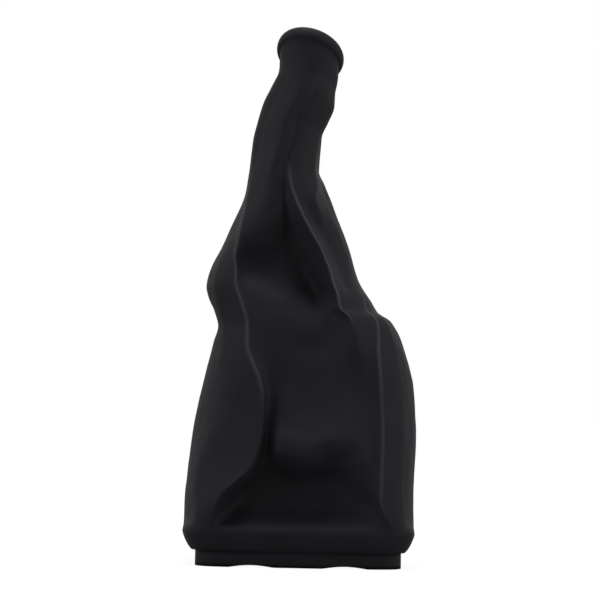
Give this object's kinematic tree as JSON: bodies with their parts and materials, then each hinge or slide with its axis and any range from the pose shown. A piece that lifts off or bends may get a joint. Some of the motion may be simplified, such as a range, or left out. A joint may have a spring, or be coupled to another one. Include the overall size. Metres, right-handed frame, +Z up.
{
  "type": "handbrake boot",
  "caption": "Soft moulded handbrake boot: a creased, tapering sleeve from a stepped oblong base to a round beaded neck that grips the lever.",
  "frame": {"origin": "middle of the footprint, on the surface that the lower edge stands on", "axes": "+Z up from the lower edge towards the neck, +X along the long side of the base towards its right end seen from the front, front face towards -Y"},
  "size_m": [0.126, 0.0818, 0.2951],
  "materials": {
    "soft_vinyl": "matte fine-grained moulded skin"
  },
  "bodies": {
    "root": {"boot": "soft_vinyl"}
  },
  "joints": []
}
